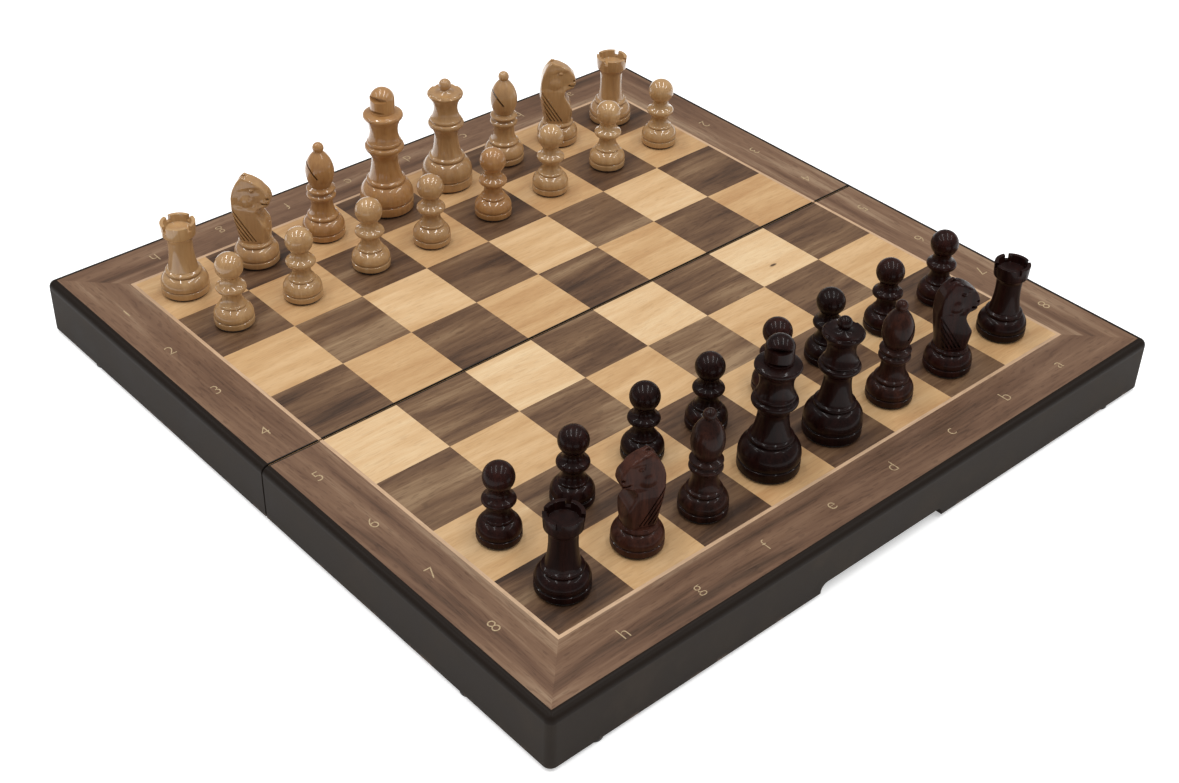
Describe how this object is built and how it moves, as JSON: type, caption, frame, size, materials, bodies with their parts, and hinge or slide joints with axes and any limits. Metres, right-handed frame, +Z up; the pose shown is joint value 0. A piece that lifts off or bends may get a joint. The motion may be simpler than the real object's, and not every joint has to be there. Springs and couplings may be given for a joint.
{
  "type": "folding chess set",
  "caption": "Folding chess board made as two hinged shallow boxes, with a full set of turned wooden men that lift off their squares; the hollow underside stores the men when it is closed.",
  "frame": {"origin": "on the table under the middle of the open board, on the fold line", "axes": "+X from the a file to the h file, +Y from White's side to Black's side, +Z up"},
  "size_m": [0.379, 0.38, 0.0985],
  "materials": {
    "black_lacquer": "satin charcoal-black lacquer on hardwood rails",
    "plywood": "plain sanded plywood",
    "walnut_border": "satin walnut veneer",
    "maple_strip": "satin maple inlay",
    "walnut_squares": "satin walnut veneer",
    "maple_squares": "satin maple veneer",
    "green_felt": "glued wool felt",
    "nickel_magnet": "nickel plated",
    "screw_brass": "plain turned brass",
    "hinge_brass": "brushed brass",
    "pin_steel": "drawn steel wire",
    "dark_felt": "glued felt pad",
    "boxwood": "satin clear lacquer on pale boxwood",
    "boxwood_warm": "satin clear lacquer on warmer boxwood",
    "stained_dark": "gloss lacquer over near-black brown stain",
    "stained_reddish": "gloss lacquer over reddish brown stain"
  },
  "bodies": {
    "white_half": {"white_outer_rail": "black_lacquer", "white_side_rails": "black_lacquer", "white_fold_rail": "black_lacquer", "white_lid_panel": "plywood", "white_walnut_border": "walnut_border", "white_maple_stringing": "maple_strip", "white_dark_squares": "walnut_squares", "white_light_squares": "maple_squares", "white_felt_lining": "green_felt", "white_closing_magnets": "nickel_magnet", "white_hinge_screws": "screw_brass", "white_felt_feet": "dark_felt", "white_hinge_leaves": "hinge_brass", "hinge_pins": "pin_steel"},
    "black_half": {"black_outer_rail": "black_lacquer", "black_side_rails": "black_lacquer", "black_fold_rail": "black_lacquer", "black_lid_panel": "plywood", "black_walnut_border": "walnut_border", "black_maple_stringing": "maple_strip", "black_dark_squares": "walnut_squares", "black_light_squares": "maple_squares", "black_felt_lining": "green_felt", "black_closing_magnets": "nickel_magnet", "black_hinge_screws": "screw_brass", "black_felt_feet": "dark_felt", "black_hinge_leaves": "hinge_brass"},
    "white_pawn_a_man": {"white_pawn_a": "boxwood"},
    "white_pawn_b_man": {"white_pawn_b": "boxwood"},
    "white_pawn_c_man": {"white_pawn_c": "boxwood"},
    "white_pawn_d_man": {"white_pawn_d": "boxwood_warm"},
    "white_pawn_e_man": {"white_pawn_e": "boxwood"},
    "white_pawn_f_man": {"white_pawn_f": "boxwood"},
    "white_pawn_g_man": {"white_pawn_g": "boxwood"},
    "white_pawn_h_man": {"white_pawn_h": "boxwood"},
    "white_rook_a_man": {"white_rook_a": "boxwood"},
    "white_rook_h_man": {"white_rook_h": "boxwood"},
    "white_knight_b_man": {"white_knight_b": "boxwood"},
    "white_knight_g_man": {"white_knight_g": "boxwood"},
    "white_bishop_c_man": {"white_bishop_c": "boxwood"},
    "white_bishop_f_man": {"white_bishop_f": "boxwood_warm"},
    "white_queen_man": {"white_queen": "boxwood"},
    "white_king_man": {"white_king": "boxwood_warm"},
    "black_pawn_a_man": {"black_pawn_a": "stained_dark"},
    "black_pawn_b_man": {"black_pawn_b": "stained_dark"},
    "black_pawn_c_man": {"black_pawn_c": "stained_dark"},
    "black_pawn_d_man": {"black_pawn_d": "stained_dark"},
    "black_pawn_e_man": {"black_pawn_e": "stained_dark"},
    "black_pawn_f_man": {"black_pawn_f": "stained_dark"},
    "black_pawn_g_man": {"black_pawn_g": "stained_dark"},
    "black_pawn_h_man": {"black_pawn_h": "stained_dark"},
    "black_rook_a_man": {"black_rook_a": "stained_dark"},
    "black_rook_h_man": {"black_rook_h": "stained_dark"},
    "black_knight_b_man": {"black_knight_b": "stained_dark"},
    "black_knight_g_man": {"black_knight_g": "stained_reddish"},
    "black_bishop_c_man": {"black_bishop_c": "stained_reddish"},
    "black_bishop_f_man": {"black_bishop_f": "stained_reddish"},
    "black_queen_man": {"black_queen": "stained_dark"},
    "black_king_man": {"black_king": "stained_dark"}
  },
  "joints": [
    {"name": "fold_hinge", "type": "hinge", "parent": "white_half", "child": "black_half", "pos_m": [0, 0, 0.0014], "axis": [-1, 0, 0], "range_deg": [0, 179.6]},
    {"name": "white_pawn_a_lift", "type": "slide", "parent": "white_half", "child": "white_pawn_a_man", "axis": [0, 0, 1], "range_m": [0, 0.1]},
    {"name": "white_pawn_b_lift", "type": "slide", "parent": "white_half", "child": "white_pawn_b_man", "axis": [0, 0, 1], "range_m": [0, 0.1]},
    {"name": "white_pawn_c_lift", "type": "slide", "parent": "white_half", "child": "white_pawn_c_man", "axis": [0, 0, 1], "range_m": [0, 0.1]},
    {"name": "white_pawn_d_lift", "type": "slide", "parent": "white_half", "child": "white_pawn_d_man", "axis": [0, 0, 1], "range_m": [0, 0.1]},
    {"name": "white_pawn_e_lift", "type": "slide", "parent": "white_half", "child": "white_pawn_e_man", "axis": [0, 0, 1], "range_m": [0, 0.1]},
    {"name": "white_pawn_f_lift", "type": "slide", "parent": "white_half", "child": "white_pawn_f_man", "axis": [0, 0, 1], "range_m": [0, 0.1]},
    {"name": "white_pawn_g_lift", "type": "slide", "parent": "white_half", "child": "white_pawn_g_man", "axis": [0, 0, 1], "range_m": [0, 0.1]},
    {"name": "white_pawn_h_lift", "type": "slide", "parent": "white_half", "child": "white_pawn_h_man", "axis": [0, 0, 1], "range_m": [0, 0.1]},
    {"name": "white_rook_a_lift", "type": "slide", "parent": "white_half", "child": "white_rook_a_man", "axis": [0, 0, 1], "range_m": [0, 0.1]},
    {"name": "white_rook_h_lift", "type": "slide", "parent": "white_half", "child": "white_rook_h_man", "axis": [0, 0, 1], "range_m": [0, 0.1]},
    {"name": "white_knight_b_lift", "type": "slide", "parent": "white_half", "child": "white_knight_b_man", "axis": [0, 0, 1], "range_m": [0, 0.1]},
    {"name": "white_knight_g_lift", "type": "slide", "parent": "white_half", "child": "white_knight_g_man", "axis": [0, 0, 1], "range_m": [0, 0.1]},
    {"name": "white_bishop_c_lift", "type": "slide", "parent": "white_half", "child": "white_bishop_c_man", "axis": [0, 0, 1], "range_m": [0, 0.1]},
    {"name": "white_bishop_f_lift", "type": "slide", "parent": "white_half", "child": "white_bishop_f_man", "axis": [0, 0, 1], "range_m": [0, 0.1]},
    {"name": "white_queen_lift", "type": "slide", "parent": "white_half", "child": "white_queen_man", "axis": [0, 0, 1], "range_m": [0, 0.1]},
    {"name": "white_king_lift", "type": "slide", "parent": "white_half", "child": "white_king_man", "axis": [0, 0, 1], "range_m": [0, 0.1]},
    {"name": "black_pawn_a_lift", "type": "slide", "parent": "black_half", "child": "black_pawn_a_man", "axis": [0, 0, 1], "range_m": [0, 0.1]},
    {"name": "black_pawn_b_lift", "type": "slide", "parent": "black_half", "child": "black_pawn_b_man", "axis": [0, 0, 1], "range_m": [0, 0.1]},
    {"name": "black_pawn_c_lift", "type": "slide", "parent": "black_half", "child": "black_pawn_c_man", "axis": [0, 0, 1], "range_m": [0, 0.1]},
    {"name": "black_pawn_d_lift", "type": "slide", "parent": "black_half", "child": "black_pawn_d_man", "axis": [0, 0, 1], "range_m": [0, 0.1]},
    {"name": "black_pawn_e_lift", "type": "slide", "parent": "black_half", "child": "black_pawn_e_man", "axis": [0, 0, 1], "range_m": [0, 0.1]},
    {"name": "black_pawn_f_lift", "type": "slide", "parent": "black_half", "child": "black_pawn_f_man", "axis": [0, 0, 1], "range_m": [0, 0.1]},
    {"name": "black_pawn_g_lift", "type": "slide", "parent": "black_half", "child": "black_pawn_g_man", "axis": [0, 0, 1], "range_m": [0, 0.1]},
    {"name": "black_pawn_h_lift", "type": "slide", "parent": "black_half", "child": "black_pawn_h_man", "axis": [0, 0, 1], "range_m": [0, 0.1]},
    {"name": "black_rook_a_lift", "type": "slide", "parent": "black_half", "child": "black_rook_a_man", "axis": [0, 0, 1], "range_m": [0, 0.1]},
    {"name": "black_rook_h_lift", "type": "slide", "parent": "black_half", "child": "black_rook_h_man", "axis": [0, 0, 1], "range_m": [0, 0.1]},
    {"name": "black_knight_b_lift", "type": "slide", "parent": "black_half", "child": "black_knight_b_man", "axis": [0, 0, 1], "range_m": [0, 0.1]},
    {"name": "black_knight_g_lift", "type": "slide", "parent": "black_half", "child": "black_knight_g_man", "axis": [0, 0, 1], "range_m": [0, 0.1]},
    {"name": "black_bishop_c_lift", "type": "slide", "parent": "black_half", "child": "black_bishop_c_man", "axis": [0, 0, 1], "range_m": [0, 0.1]},
    {"name": "black_bishop_f_lift", "type": "slide", "parent": "black_half", "child": "black_bishop_f_man", "axis": [0, 0, 1], "range_m": [0, 0.1]},
    {"name": "black_queen_lift", "type": "slide", "parent": "black_half", "child": "black_queen_man", "axis": [0, 0, 1], "range_m": [0, 0.1]},
    {"name": "black_king_lift", "type": "slide", "parent": "black_half", "child": "black_king_man", "axis": [0, 0, 1], "range_m": [0, 0.1]}
  ]
}
